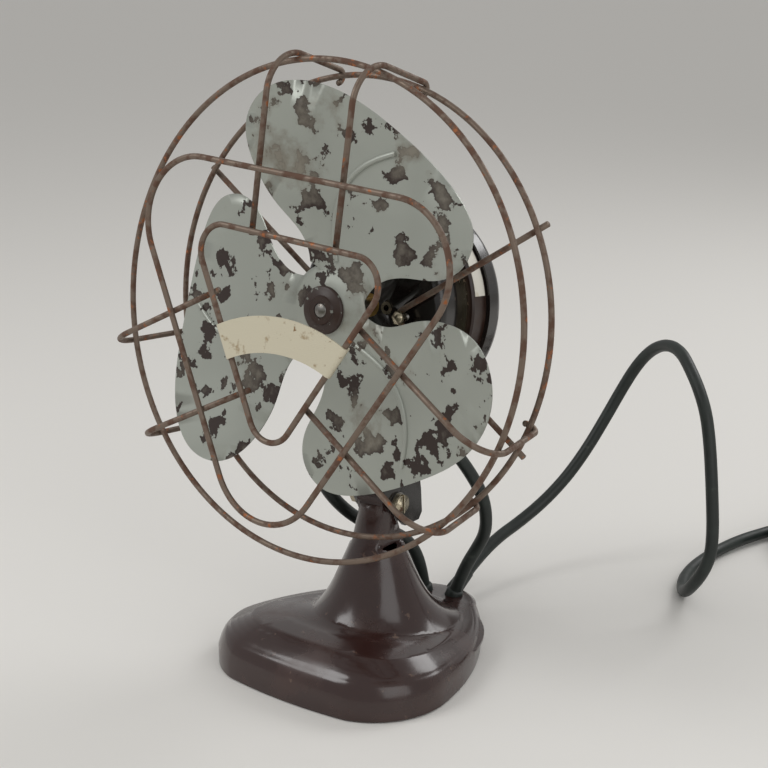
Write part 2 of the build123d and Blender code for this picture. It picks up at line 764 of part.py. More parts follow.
def make_spoke(pair_angle, side):
    """One wire from the small triangle, over the front ring and hooked round the rear ring."""
    angle = math.radians(pair_angle)
    out_axis = across * math.cos(angle) + upward * math.sin(angle)
    side_axis = upward * math.cos(angle) - across * math.sin(angle)
    plane = Plane(guard_centre + side_axis * side * spoke_offset, x_dir=out_axis, z_dir=out_axis.cross(forward))
    front_reach_here = math.sqrt(front_ring_radius ** 2 - spoke_offset ** 2)
    rear_reach_here = math.sqrt(rear_ring_radius ** 2 - spoke_offset ** 2)
    slant = front_ring_radius / front_reach_here
    over_radius = guard_face_ahead
    over_centre = Vector(front_reach_here + wire_step * slant + spoke_clear - over_radius, 0)
    hook_radius = wire_step * slant + spoke_clear
    hook_centre = Vector(rear_reach_here, -ring_spacing)
    between = hook_centre - over_centre
    heading = math.atan2(between.Y, between.X) - math.asin((over_radius - hook_radius) / between.length)
    outward = Vector(-math.sin(heading), math.cos(heading))
    over_end = over_centre + outward * over_radius
    hook_start = hook_centre + outward * hook_radius
    with BuildPart() as spoke:
        with BuildLine(plane) as path:
            Line((spoke_start_reach, guard_face_ahead), (over_centre.X, guard_face_ahead))
            JernArc((over_centre.X, guard_face_ahead), (1, 0), over_radius, math.degrees(heading))
            Line((over_end.X, over_end.Y), (hook_start.X, hook_start.Y))
            JernArc((hook_start.X, hook_start.Y), (math.cos(heading), math.sin(heading)), hook_radius,
                    -spoke_hook_arc)
        sweep(wire_section(path), path=path.line)
    return spoke


spoke_angles = [90 + triangle_turn, 210 + triangle_turn, 330 + triangle_turn]
spoke_sides = [(spoke_angles[0], 1), (spoke_angles[0], -1), (spoke_angles[1], -1),
               (spoke_angles[1], 1), (spoke_angles[2], 1), (spoke_angles[2], -1)]
for number, (pair_angle, side) in enumerate(spoke_sides, start=1):
    write_piece(make_spoke(pair_angle, side), f"guard_spoke_{number}")

triangle_ahead = guard_face_ahead + wire_step


def make_triangle(inradius, corner):
    """Rounded wire triangle welded across the spokes."""
    corners = [(2 * inradius * math.cos(math.radians(a + triangle_turn)),
                2 * inradius * math.sin(math.radians(a + triangle_turn))) for a in (150, 30, 270)]
    with BuildPart() as triangle:
        with BuildLine(guard_plane(triangle_ahead)) as path:
            FilletPolyline(*corners, radius=corner, close=True)
        sweep(wire_section(path), path=path.line)
    return triangle


write_piece(make_triangle(large_triangle_inradius, large_triangle_corner), "guard_large_triangle")
write_piece(make_triangle(small_triangle_inradius, small_triangle_corner), "guard_small_triangle")

# Banner across the small triangle, its ends rolled round the side wires
banner_back = triangle_ahead + wire_radius + weld_gap
banner_ends = {-1: (210 + triangle_turn, 9.9), 1: (330 + triangle_turn, -16.6)}


def banner_end(side):
    """Top corner of the banner on a side wire, the wire's outward normal and its downward heading."""
    normal_angle, along = banner_ends[side]
    normal = Vector(math.cos(math.radians(normal_angle)), math.sin(math.radians(normal_angle)))
    heading = Vector(-normal.Y, normal.X) if side < 0 else Vector(normal.Y, -normal.X)
    top = normal * small_triangle_inradius - heading * abs(along)
    return top, normal, heading


with BuildPart() as guard_banner:
    left_top, left_normal, left_down = banner_end(-1)
    right_top, right_normal, right_down = banner_end(1)
    left_low = left_top + left_down * banner_width
    right_low = right_top + right_down * banner_width
    with BuildSketch(guard_plane(banner_back)):
        with BuildLine():
            ThreePointArc(left_top, (0, banner_crown), right_top)
            Line(right_top, right_low)
            ThreePointArc(right_low, (0, banner_crown - banner_width), left_low)
            Line(left_low, left_top)
        make_face()
    extrude(amount=banner_thickness)
    roll_inner = wire_radius + weld_gap
    roll_outer = roll_inner + banner_thickness
    for top, normal, heading in ((left_top, left_normal, left_down), (right_top, right_normal, right_down)):
        world_normal = across * normal.X + upward * normal.Y
        world_heading = across * heading.X + upward * heading.Y
        corner = guard_centre + across * top.X + upward * top.Y + forward * triangle_ahead
        with BuildSketch(Plane(corner, x_dir=world_normal, z_dir=world_heading)) as roll:
            Circle(roll_outer)
            Circle(roll_inner, mode=Mode.SUBTRACT)
            with Locations((-roll_outer, 0)):
                Rectangle(2 * roll_outer, 4 * roll_outer, mode=Mode.SUBTRACT)
        extrude(amount=banner_width)
write_piece(guard_banner, "guard_banner")

# Wire brackets from the motor's studs to the rear ring
bracket_ends = {1: [(114.0, 58.5), (112.0, -59.5)], -1: [(-109.5, 66.0), (-112.5, -59.5)]}
bracket_eye = stud_radius + wire_radius + 0.5
stud_ahead = bell_front + wire_radius + bracket_rise
ring_back_ahead = -ring_spacing - wire_step


def make_bracket(side):
    """V of wire bent round a stud, its legs welded behind the rear ring."""
    stud = axis_origin + across * (side * stud_spacing / 2) - upward * stud_drop + forward * stud_ahead
    ends = [guard_centre + across * x + upward * y + forward * ring_back_ahead for x, y in bracket_ends[side]]
    middle = (ends[0] + ends[1]) * 0.5 - stud
    heading = middle.normalized()
    plane = Plane(stud, x_dir=heading, z_dir=heading.cross((ends[1] - ends[0]).normalized()))
    flat_ends = [plane.to_local_coords(end) for end in ends]
    half_angle = sum(math.atan2(abs(end.Y), end.X + bracket_eye) for end in flat_ends) / 2
    vertex = (-bracket_eye / math.sin(half_angle), 0)
    with BuildPart() as bracket:
        with BuildLine(plane) as path:
            FilletPolyline((flat_ends[0].X, flat_ends[0].Y), vertex, (flat_ends[1].X, flat_ends[1].Y),
                           radius=bracket_eye)
        sweep(wire_section(path), path=path.line)
    return bracket


write_piece(make_bracket(-1), "guard_bracket_left")
write_piece(make_bracket(1), "guard_bracket_right")

# ---------------------------------------------------------------- cords
def bend_radii(route):
    """Largest arc that each corner of a route allows."""
    radii = []
    for before, corner, after in zip(route, route[1:], route[2:]):
        arriving = corner - before
        leaving = after - corner
        turn = math.radians(arriving.get_angle(leaving))
        radii.append(0.45 * min(arriving.length, leaving.length) / math.tan(turn / 2))
    return radii


def make_cord(points, name):
    """Round cord along a route; prints its bends and compares its volume with its length."""
    route = [Vector(*point) for point in points]
    radii = bend_radii(route)
    with BuildPart() as cord:
        with BuildLine() as path:
            FilletPolyline(*route, radius=radii)
        sweep(wire_section(path, cord_radius), path=path.line)
    length = sum(edge.length for edge in path.line.edges())
    share = cord.part.volume / (length * math.pi * cord_radius ** 2)
    print(name, "length", round(length, 1), "volume share", round(share, 4))
    print("  bend radii", [round(radius) for radius in radii])
    write_piece(cord, name)
    return length


def cord_start(point, heading, along):
    """Two points that take a cord straight out of its grommet."""
    return [point + heading * along, point + heading * (along + 2 * cord_diameter)]


def cord_finish(side):
    """Two points that take a cord straight into its motor bush."""
    point, heading = bush_frame(side)
    return [point + heading * (bush_length + 2 * cord_diameter), point + heading * bush_length]


left_route = [
    *cord_start(*lead_exits["left"], grommet_length * 0.6), (-15, 51, 47), (-21, 37, 57), (-27, 21, 65),
    (-32, 7, 78), (-38.5, -1, 92), (-42.5, -2.5, 107.5), (-45, 2, 122), *cord_finish("left"),
]
right_route = [
    *cord_start(*lead_exits["right"], grommet_length * 0.6), (20, 72.5, 43), (26.5, 72, 55), (28, 70, 69),
    (27, 65.5, 83), (23.5, 58, 97), (20, 50, 109), *cord_finish("right"),
]
mains_route = [
    *cord_start(mains_exit, mains_heading, relief_length), (-1, 128, 27.5), (3, 146, 33), (10.5, 163, 43.5),
    (18.5, 178, 58), (25.5, 191, 75.5), (32, 202, 95), (39, 209.5, 114), (46.5, 212, 129), (55.5, 211, 140.5),
    (66, 207, 148), (77.5, 200, 151.5), (89, 191.5, 150.5), (99.5, 182, 145), (110, 174, 136),
    (119, 167.5, 123.5), (124.5, 163, 107.5), (128.5, 159.5, 89.5), (131.5, 157, 71.5), (133.5, 155.5, 55.5),
    (134, 154, 42.5), (132, 153, 33.5), (127.8, 153.3, 24.8), (122.4, 155.5, 17.3), (117, 160.2, 11.1),
    (111.5, 167, 6.4), (106.5, 175, cord_radius), (101.5, 185, cord_radius), (97.5, 198, cord_radius),
    (95, 216, cord_radius), (95, 241, cord_radius), (100, 267, coil_level), (108, 292.5, coil_level),
    (117.5, 318, coil_level),
]
make_cord(left_route, "motor_lead_left")
make_cord(right_route, "motor_lead_right")
mains_length = make_cord(mains_route, "mains_cord")

# Put-away coil of the mains cord: in towards the middle, up a layer, and out again
coil_entry = Vector(*mains_route[-1])
coil_heading = (coil_entry - Vector(*mains_route[-2])).normalized()
coil_reversal = coil_turns / 2 + 0.25
coil_start_radius = coil_mid_radius + coil_pitch * coil_reversal / 2
coil_outward = Vector(-coil_heading.Y, coil_heading.X)
coil_centre = coil_entry + coil_heading * cord_diameter - coil_outward * coil_start_radius
climb_start = coil_turns / 2
climb_turns = 0.5


def coil_point(turn):
    """Centre of the cord after this many turns of the coil."""
    radius = coil_start_radius - coil_pitch * (coil_reversal - abs(coil_reversal - turn))
    climbed = min(max((turn - climb_start) / climb_turns, 0), 1)
    rise = coil_pitch * climbed * climbed * (3 - 2 * climbed)
    angle = 2 * math.pi * turn
    return (coil_centre + coil_outward * radius * math.cos(angle) + coil_heading * radius * math.sin(angle)
            + Vector(0, 0, rise))


def coil_direction(turn):
    """Heading of the cord after this many turns."""
    if turn in (0, coil_turns):
        return coil_heading
    small = 0.002
    return (coil_point(turn + small) - coil_point(turn - small)).normalized()


def biarc_joint(start, start_heading, end, end_heading):
    """Where two arcs that leave and arrive along the given headings meet, and their heading there."""
    chord = end - start
    both = start_heading + end_heading
    spread = 2 * (1 - start_heading.dot(end_heading))
    along = chord.dot(both)
    reach = (math.sqrt(along * along + spread * chord.dot(chord)) - along) / spread
    first = start + start_heading * reach
    second = end - end_heading * reach
    return (first + second) * 0.5, (second - first).normalized()


tail_length = 1.03 * coil_start_radius
quarter_turns = int(coil_turns * 4)
with BuildPart() as cord_coil:
    with BuildLine() as path:
        Line(coil_entry, coil_point(0))
        for quarter in range(quarter_turns):
            here, there = quarter / 4, (quarter + 1) / 4
            joint, joint_heading = biarc_joint(coil_point(here), coil_direction(here),
                                               coil_point(there), coil_direction(there))
            TangentArc(coil_point(here), joint, tangent=coil_direction(here))
            TangentArc(joint, coil_point(there), tangent=joint_heading)
        Line(coil_point(coil_turns), coil_point(coil_turns) + coil_heading * tail_length)
    sweep(wire_section(path, cord_radius), path=path.line)
write_piece(cord_coil, "cord_coil")
coil_length = sum(edge.length for edge in path.line.edges())
samples = [coil_point(step / 48) for step in range(int(coil_turns * 48) + 1)]
least = min((samples[i] - samples[j]).length for i in range(len(samples)) for j in range(i + 24, len(samples)))
print("coil length", round(coil_length, 1), "least gap", round(least - cord_diameter, 2),
      "volume share", round(cord_coil.part.volume / (coil_length * math.pi * cord_radius ** 2), 4))
print("mains cord in all", round(mains_length + coil_length, 1))

tie_gap = 0.35
tie_turn = 0.5
band_inner = coil_point(climb_start).sub(coil_centre).length - cord_radius - tie_gap
band_outer = coil_start_radius - coil_pitch * tie_turn + cord_radius + tie_gap
band_height = coil_pitch + cord_diameter + 2 * tie_gap
band_middle = coil_centre - coil_outward * (band_inner + band_outer) / 2 + Vector(0, 0, coil_pitch / 2)
with BuildPart() as coil_tie:
    with BuildSketch(Plane(band_middle - coil_heading * tie_width / 2, x_dir=coil_outward, z_dir=coil_heading)):
        RectangleRounded(band_outer - band_inner + 2 * tie_thickness, band_height + 2 * tie_thickness, 4.0)
        RectangleRounded(band_outer - band_inner, band_height, 3.2, mode=Mode.SUBTRACT)
    extrude(amount=tie_width)
write_piece(coil_tie, "coil_tie")

plug_start = coil_point(coil_turns) + coil_heading * tail_length
plug_radius = coil_level + coil_pitch - weld_gap
plug_neck = 9.0
with BuildPart() as plug_body:
    with BuildSketch(Plane(plug_start, z_dir=coil_heading)):
        Circle(cord_radius + 1.2)
    with BuildSketch(Plane(plug_start + coil_heading * plug_neck, z_dir=coil_heading)):
        Circle(plug_radius - 3.0)
    with BuildSketch(Plane(plug_start + coil_heading * (plug_neck + 3.0), z_dir=coil_heading)):
        Circle(plug_radius)
    with BuildSketch(Plane(plug_start + coil_heading * plug_length, z_dir=coil_heading)):
        Circle(plug_radius)
    loft(ruled=True)
    with Locations(Plane(plug_start + coil_heading * plug_length, x_dir=coil_outward, z_dir=coil_heading)):
        with GridLocations(pin_spacing, 0, 2, 1):
            Hole(radius=pin_radius + running_gap, depth=8.0)
write_piece(plug_body, "plug_body")

with BuildPart() as plug_pins:
    with BuildSketch(Plane(plug_start + coil_heading * (plug_length - 7.5), x_dir=coil_outward,
                           z_dir=coil_heading)):
        with GridLocations(pin_spacing, 0, 2, 1):
            Circle(pin_radius)
    extrude(amount=pin_length + 7.5)
write_piece(plug_pins, "plug_pins")
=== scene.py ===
"""Looks of an old electric desk fan: worn silver blades in a rusty wire guard on a moulded stand."""

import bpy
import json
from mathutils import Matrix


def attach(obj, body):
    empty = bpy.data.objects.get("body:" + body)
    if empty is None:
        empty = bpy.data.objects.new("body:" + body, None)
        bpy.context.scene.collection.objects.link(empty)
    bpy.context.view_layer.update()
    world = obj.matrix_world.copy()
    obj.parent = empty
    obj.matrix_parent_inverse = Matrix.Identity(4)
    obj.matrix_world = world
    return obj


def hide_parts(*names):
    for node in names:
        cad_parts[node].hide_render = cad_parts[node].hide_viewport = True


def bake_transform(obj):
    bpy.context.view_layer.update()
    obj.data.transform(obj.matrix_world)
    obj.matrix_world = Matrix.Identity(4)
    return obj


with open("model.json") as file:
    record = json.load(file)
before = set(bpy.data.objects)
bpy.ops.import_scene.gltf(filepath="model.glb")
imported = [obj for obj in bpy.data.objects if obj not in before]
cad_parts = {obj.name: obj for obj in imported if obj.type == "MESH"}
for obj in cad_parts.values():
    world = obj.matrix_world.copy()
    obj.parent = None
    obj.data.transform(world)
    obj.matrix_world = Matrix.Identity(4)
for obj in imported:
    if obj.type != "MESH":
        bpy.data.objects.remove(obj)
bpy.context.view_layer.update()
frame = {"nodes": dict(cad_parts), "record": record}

import json
import logging
import math
from dataclasses import dataclass, field
from enum import Enum

import bmesh
import bpy
from mathutils import Matrix, Vector

LOG = logging.getLogger("desk_fan")
MM = 0.001
BODIES = frame["record"]["behaviour"]["bodies"]
BODY_OF = {node: body for body, nodes in BODIES.items() for node in nodes}
WAVE_PERIOD = 2 * math.pi / 20  # period of a band pattern at scale 1, in metres
PATCH_ROUGHNESS = 0.58
GRAIN_DETAIL = 4.0
COAT_ROUGHNESS = 0.12
WELD_MM = 0.002
SPIN_WELD_MM = 0.001
CREASE_DEG = 32.0


def linear(colour: str) -> tuple[float, float, float, float]:
    """Turn an sRGB hex colour to linear.

    Args:
        colour: Six hex digits after a hash sign.

    Returns:
        Linear red, green, blue and an alpha of 1.
    """
    channels = [int(colour[start:start + 2], 16) / 255 for start in (1, 3, 5)]
    red, green, blue = (c / 12.92 if c <= 0.04045 else ((c + 0.055) / 1.055) ** 2.4 for c in channels)
    return red, green, blue, 1.0


def add_node(tree: bpy.types.NodeTree, kind: str, settings: dict | None = None,
             inputs: dict | None = None) -> bpy.types.Node:
    """Add a node with its settings and links.

    Args:
        tree: Tree that gets the node.
        kind: Node type.
        settings: Properties to set, by name.
        inputs: Values or sockets for its inputs, by name or index.

    Returns:
        The new node.
    """
    node = tree.nodes.new(kind)
    for name, value in (settings or {}).items():
        setattr(node, name, value)
    for key, value in (inputs or {}).items():
        if isinstance(value, bpy.types.NodeSocket):
            tree.links.new(value, node.inputs[key])
        else:
            node.inputs[key].default_value = value
    return node


# ---------------------------------------------------------------- finishes
@dataclass(frozen=True)
class Layer:
    """Colour and sheen of one layer of a surface."""

    colour: str
    roughness: float
    metallic: float = 0.0


@dataclass(frozen=True)
class Patches:
    """Irregular patches of a real size; a lower level covers more of the surface."""

    size_mm: float
    level: float
    edge: float
    detail: float = 6.0

    def mask(self, tree: bpy.types.NodeTree, where: bpy.types.NodeSocket) -> bpy.types.NodeSocket:
        """Build the mask that is 1 inside the patches.

        Args:
            tree: Tree that gets the nodes.
            where: Coordinates in metres.

        Returns:
            Socket from 0 to 1.
        """
        noise = add_node(tree, "ShaderNodeTexNoise", inputs={
            "Vector": where, "Scale": 1 / (self.size_mm * MM), "Detail": self.detail,
            "Roughness": PATCH_ROUGHNESS})
        ramp = add_node(tree, "ShaderNodeMapRange", inputs={
            "Value": noise.outputs[0], "From Min": self.level, "From Max": self.level + self.edge})
        return ramp.outputs["Result"]


@dataclass(frozen=True)
class Finish:
    """A top layer worn through to what is under it, with stains, grain and optional fine lines.

    Sizes are in millimetres, and a height or depth of 0 leaves that relief out.
    """

    name: str
    slot: str
    top: Layer
    under: Layer
    wear: Patches
    stain: str
    stains: Patches
    grain_mm: float
    grain_height_mm: float
    chip_depth_mm: float = 0.0
    lacquer: float = 0.0
    lines_mm: float = 0.0

    def make(self) -> bpy.types.Material:
        """Build the material.

        Returns:
            A node material on object coordinates.
        """
        material = bpy.data.materials.new(self.name)
        material.use_nodes = True
        tree = material.node_tree
        shader = tree.nodes["Principled BSDF"]
        where = add_node(tree, "ShaderNodeTexCoord").outputs["Object"]
        worn = self.wear.mask(tree, where)
        stained = self.stains.mask(tree, where)
        colour = add_node(tree, "ShaderNodeMix", {"data_type": "RGBA"},
                          {0: worn, 6: linear(self.top.colour), 7: linear(self.under.colour)}).outputs[2]
        colour = add_node(tree, "ShaderNodeMix", {"data_type": "RGBA"},
                          {0: stained, 6: colour, 7: linear(self.stain)}).outputs[2]
        tree.links.new(colour, shader.inputs["Base Color"])
        roughness = add_node(tree, "ShaderNodeMapRange", inputs={
            "Value": worn, "To Min": self.top.roughness, "To Max": self.under.roughness})
        tree.links.new(roughness.outputs["Result"], shader.inputs["Roughness"])
        if self.top.metallic == self.under.metallic:
            shader.inputs["Metallic"].default_value = self.top.metallic
        else:
            metallic = add_node(tree, "ShaderNodeMapRange", inputs={
                "Value": worn, "To Min": self.top.metallic, "To Max": self.under.metallic})
            tree.links.new(metallic.outputs["Result"], shader.inputs["Metallic"])
        shader.inputs["Coat Weight"].default_value = self.lacquer
        shader.inputs["Coat Roughness"].default_value = COAT_ROUGHNESS
        tree.links.new(self.relief(tree, where, worn), shader.inputs["Normal"])
        return material

    def relief(self, tree: bpy.types.NodeTree, where: bpy.types.NodeSocket,
               worn: bpy.types.NodeSocket) -> bpy.types.NodeSocket:
        """Build the surface relief from grain, chips and lines.

        Args:
            tree: Tree that gets the nodes.
            where: Coordinates in metres.
            worn: Mask of the worn patches.

        Returns:
            Normal socket.
        """
        grain = add_node(tree, "ShaderNodeTexNoise", inputs={
            "Vector": where, "Scale": 1 / (self.grain_mm * MM), "Detail": GRAIN_DETAIL}).outputs[0]
        height = add_node(tree, "ShaderNodeMath", {"operation": "MULTIPLY"},
                          {0: grain, 1: self.grain_height_mm}).outputs[0]
        if self.chip_depth_mm:
            height = add_node(tree, "ShaderNodeMath", {"operation": "MULTIPLY_ADD"},
                              {0: worn, 1: -self.chip_depth_mm, 2: height}).outputs[0]
        if self.lines_mm:
            wave = add_node(tree, "ShaderNodeTexWave", {"bands_direction": "Z"}, {
                "Vector": where, "Scale": WAVE_PERIOD / (self.lines_mm * MM), "Distortion": 0.0})
            height = add_node(tree, "ShaderNodeMath", {"operation": "MULTIPLY_ADD"},
                              {0: wave.outputs["Fac"], 1: self.grain_height_mm, 2: height}).outputs[0]
        bump = add_node(tree, "ShaderNodeBump", inputs={"Height": height, "Distance": MM, "Strength": 1.0})
        return bump.outputs["Normal"]


FEW = Patches(9.0, 0.66, 0.05)


class Finishes(Enum):
    """The finishes of this fan."""

    # Phenolic moulding, polished: a hard gloss on mottled dark brown, dull where it was handled
    BROWN_PHENOLIC = Finish(
        "moulded_brown_phenolic", "brown_phenolic", top=Layer("#2F1B18", 0.2),
        under=Layer("#3B2520", 0.42), wear=Patches(26.0, 0.5, 0.22), stain="#5A463C", stains=FEW,
        grain_mm=2.5, grain_height_mm=0.01, lacquer=0.35)
    # Phenolic moulding, less polished: a satin brown-black
    DRUM_PHENOLIC = Finish(
        "moulded_drum_phenolic", "brown_phenolic", top=Layer("#2A1A14", 0.3),
        under=Layer("#35241C", 0.5), wear=Patches(14.0, 0.52, 0.18), stain="#5B4A3B", stains=FEW,
        grain_mm=1.8, grain_height_mm=0.014)
    # Phenolic moulding, polished: near black with sharp highlights
    BLACK_PHENOLIC = Finish(
        "moulded_black_phenolic", "black_phenolic", top=Layer("#15110F", 0.17),
        under=Layer("#241D1A", 0.38), wear=Patches(22.0, 0.52, 0.2), stain="#4A4038", stains=FEW,
        grain_mm=2.2, grain_height_mm=0.01, lacquer=0.4)
    # Drawn steel wire, rusted: brown-grey, dry and uneven, with orange bloom
    RUSTY_WIRE = Finish(
        "rusted_steel_wire", "rusty_wire", top=Layer("#77685C", 0.48, 0.55),
        under=Layer("#5B4234", 0.8), wear=Patches(7.0, 0.47, 0.12), stain="#9A5D36",
        stains=Patches(5.0, 0.6, 0.08), grain_mm=0.9, grain_height_mm=0.1, chip_depth_mm=0.06)
    # Aluminium paint on pressed steel: grey-green silver, chipped with crisp edges to dark primer
    SILVER_PAINT = Finish(
        "chipped_silver_paint", "silver_paint", top=Layer("#A3A79F", 0.4, 0.35),
        under=Layer("#2C1E18", 0.62), wear=Patches(15.0, 0.565, 0.008, 9.0), stain="#7F7A6E",
        stains=Patches(30.0, 0.56, 0.14), grain_mm=1.2, grain_height_mm=0.02, chip_depth_mm=0.1)
    # Enamel, worn: satin dark brown with small bright specks of metal
    BROWN_PAINT = Finish(
        "worn_brown_enamel", "brown_paint", top=Layer("#33231D", 0.42),
        under=Layer("#8A8D86", 0.45, 0.4), wear=Patches(4.0, 0.62, 0.02), stain="#5A4030", stains=FEW,
        grain_mm=1.0, grain_height_mm=0.02, chip_depth_mm=0.05)
    # Lacquered sheet metal with fine lines 0.9 mm apart, yellowed: a soft cream sheen
    BANNER = Finish(
        "lined_cream_metal", "banner_metal", top=Layer("#D3CCB6", 0.38, 0.45),
        under=Layer("#A8977A", 0.5, 0.3), wear=Patches(8.0, 0.6, 0.08), stain="#8C7250",
        stains=Patches(5.0, 0.66, 0.05), grain_mm=0.8, grain_height_mm=0.03, lines_mm=0.9)
    # Nickel plate, tarnished: warm glints between dull brown pits
    NICKEL = Finish(
        "tarnished_nickel_plate", "nickel", top=Layer("#B7AD97", 0.24, 1.0),
        under=Layer("#6A5240", 0.6, 0.4), wear=Patches(3.5, 0.58, 0.06), stain="#8F8570", stains=FEW,
        grain_mm=0.7, grain_height_mm=0.015)
    # Turned steel, bare: grey with a blurred sheen and faint brown spots
    STEEL = Finish(
        "plain_turned_steel", "steel", top=Layer("#8C8A86", 0.34, 1.0),
        under=Layer("#6B5A4C", 0.6, 0.5), wear=Patches(5.0, 0.6, 0.08), stain="#77706A", stains=FEW,
        grain_mm=0.6, grain_height_mm=0.01)
    # Punched steel sheets, stacked: an even dark grey
    LAMINATIONS = Finish(
        "stacked_steel_laminations", "laminated_steel", top=Layer("#5B5957", 0.45, 0.9),
        under=Layer("#4A413A", 0.6, 0.6), wear=Patches(8.0, 0.58, 0.1), stain="#6A5A4A", stains=FEW,
        grain_mm=0.8, grain_height_mm=0.02)
    # Copper wire, wound and varnished: warm red-brown with turns 0.8 mm apart
    COPPER = Finish(
        "varnished_copper_winding", "copper", top=Layer("#8E4A26", 0.3, 0.8),
        under=Layer("#6B3A22", 0.45, 0.5), wear=Patches(6.0, 0.58, 0.1), stain="#5A3320", stains=FEW,
        grain_mm=0.8, grain_height_mm=0.03, lines_mm=0.8)
    # Sintered bronze: dull gold-brown with a fine grain
    BRONZE = Finish(
        "sintered_bronze", "bronze", top=Layer("#9A7B45", 0.4, 0.9), under=Layer("#7A6038", 0.55, 0.7),
        wear=Patches(3.0, 0.55, 0.1), stain="#6A5533", stains=FEW, grain_mm=0.5, grain_height_mm=0.02)
    # Moulded rubber, aged: near-black green, satin, dusty in patches
    RUBBER = Finish(
        "aged_dark_rubber", "rubber", top=Layer("#1A211E", 0.46), under=Layer("#2B332F", 0.66),
        wear=Patches(18.0, 0.5, 0.2), stain="#3A3F3A", stains=Patches(9.0, 0.64, 0.08), grain_mm=1.4,
        grain_height_mm=0.03)
    # Pressed wool felt: dull dark green with a soft grain
    FELT = Finish(
        "pressed_green_felt", "felt", top=Layer("#2F3A33", 0.95), under=Layer("#3A443C", 0.98),
        wear=Patches(3.0, 0.5, 0.15), stain="#262E29", stains=FEW, grain_mm=0.6, grain_height_mm=0.15)
    # Painted plate, left bare: pale and nearly matt, with faint brown stains
    BLANK_PLATE = Finish(
        "bare_pale_plate", "blank_plate", top=Layer("#DAD7CC", 0.48), under=Layer("#C6BEA9", 0.6),
        wear=Patches(7.0, 0.56, 0.12), stain="#A3957C", stains=Patches(5.0, 0.67, 0.05), grain_mm=1.0,
        grain_height_mm=0.01)
    # Woven cotton tape: matt beige with ribs 0.7 mm apart
    COTTON = Finish(
        "woven_cotton_tape", "cotton", top=Layer("#A59A82", 0.9), under=Layer("#8D8169", 0.95),
        wear=Patches(4.0, 0.5, 0.2), stain="#7A6F59", stains=FEW, grain_mm=0.5, grain_height_mm=0.08,
        lines_mm=0.7)


MATERIALS = {finish: finish.value.make() for finish in Finishes}


# ---------------------------------------------------------------- pieces
def in_scene(name: str, data: bpy.types.ID) -> bpy.types.Object:
    """Make an object and link it to the scene.

    Args:
        name: Name of the object.
        data: What it shows.

    Returns:
        The new object.
    """
    piece = bpy.data.objects.new(name, data)
    bpy.context.scene.collection.objects.link(piece)
    return piece


def show_piece(name: str, mesh: bpy.types.Mesh, finish: Finishes, node: str,
               crease_deg: float = CREASE_DEG) -> bpy.types.Object:
    """Put a finished mesh in the scene in place of a node.

    Args:
        name: Name of the piece.
        mesh: Its mesh, in place, in metres.
        finish: Finish that it wears.
        node: Node that it stands for.
        crease_deg: Edges that turn more than this stay sharp.

    Returns:
        The new object.
    """
    mesh.shade_smooth()
    mesh.set_sharp_from_angle(angle=math.radians(crease_deg))
    mesh.materials.clear()
    mesh.materials.append(MATERIALS[finish])
    piece = in_scene(name, mesh)
    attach(piece, BODY_OF[node])
    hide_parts(node)
    LOG.info("%s stands for %s", name, node)
    return piece


def refined(node: str, finish: Finishes, crease_deg: float = CREASE_DEG) -> bpy.types.Object:
    """Merge a copy of a node's loose triangles, so that its curved faces shade smoothly.

    Args:
        node: Node to copy.
        finish: Finish that it wears.
        crease_deg: Edges that turn more than this stay sharp.

    Returns:
        The new object.
    """
    work = bmesh.new()
    work.from_mesh(frame["nodes"][node].data)
    bmesh.ops.remove_doubles(work, verts=work.verts, dist=WELD_MM * MM)
    mesh = bpy.data.meshes.new(f"{node}_skin")
    work.to_mesh(mesh)
    work.free()
    return show_piece(f"{node}_skin", mesh, finish, node, crease_deg)


def carried(node: str, finish: Finishes) -> bpy.types.Object:
    """Dress a node whose own mesh is shown.

    Args:
        node: Node to dress.
        finish: Finish that it wears.

    Returns:
        The node's object.
    """
    piece = frame["nodes"][node]
    piece.data.materials.clear()
    piece.data.materials.append(MATERIALS[finish])
    LOG.info("%s shows its own mesh", node)
    return piece


@dataclass(frozen=True)
class HeadFrame:
    """The head's own directions, from its tilt pivot, in millimetres."""

    tilt_deg: float = 6.7
    pivot: Vector = field(default_factory=lambda: Vector((0, 3, 91)))
    axis_rise: float = 112.6
    front_ring_ahead: float = 72.5
    guard_drop: float = 1.5

    @property
    def forward(self) -> Vector:
        """Heading of the rotor axis, out of the fan's face."""
        angle = math.radians(self.tilt_deg)
        return Vector((0, -math.cos(angle), math.sin(angle)))

    @property
    def upward(self) -> Vector:
        """Heading up the fan's face."""
        angle = math.radians(self.tilt_deg)
        return Vector((0, math.sin(angle), math.cos(angle)))

    @property
    def axis_origin(self) -> Vector:
        """Point of the rotor axis at the front ring."""
        return self.pivot + self.upward * self.axis_rise + self.forward * self.front_ring_ahead

    @property
    def guard_centre(self) -> Vector:
        """Centre of the front ring."""
        return self.axis_origin - self.upward * self.guard_drop


HEAD = HeadFrame()


@dataclass
class Stand:
    """Moulded stand with its base plate, pad, screws and rubber fittings."""

    shell_crease_deg: float = 24.0
    dressed: dict[str, Finishes] = field(default_factory=lambda: {
        "base_plate": Finishes.STEEL, "base_pad": Finishes.FELT, "base_plate_screws": Finishes.STEEL,
        "terminal_block": Finishes.BLACK_PHENOLIC, "terminal_screws": Finishes.BRONZE})
    fittings: tuple[str, ...] = ("mains_strain_relief", "lead_grommet_left", "lead_grommet_right")

    def build(self) -> None:
        """Build the shell and dress what it carries."""
        refined("stand_shell", Finishes.BROWN_PHENOLIC, self.shell_crease_deg)
        for node in self.fittings:
            refined(node, Finishes.RUBBER)
        for node, finish in self.dressed.items():
            carried(node, finish)


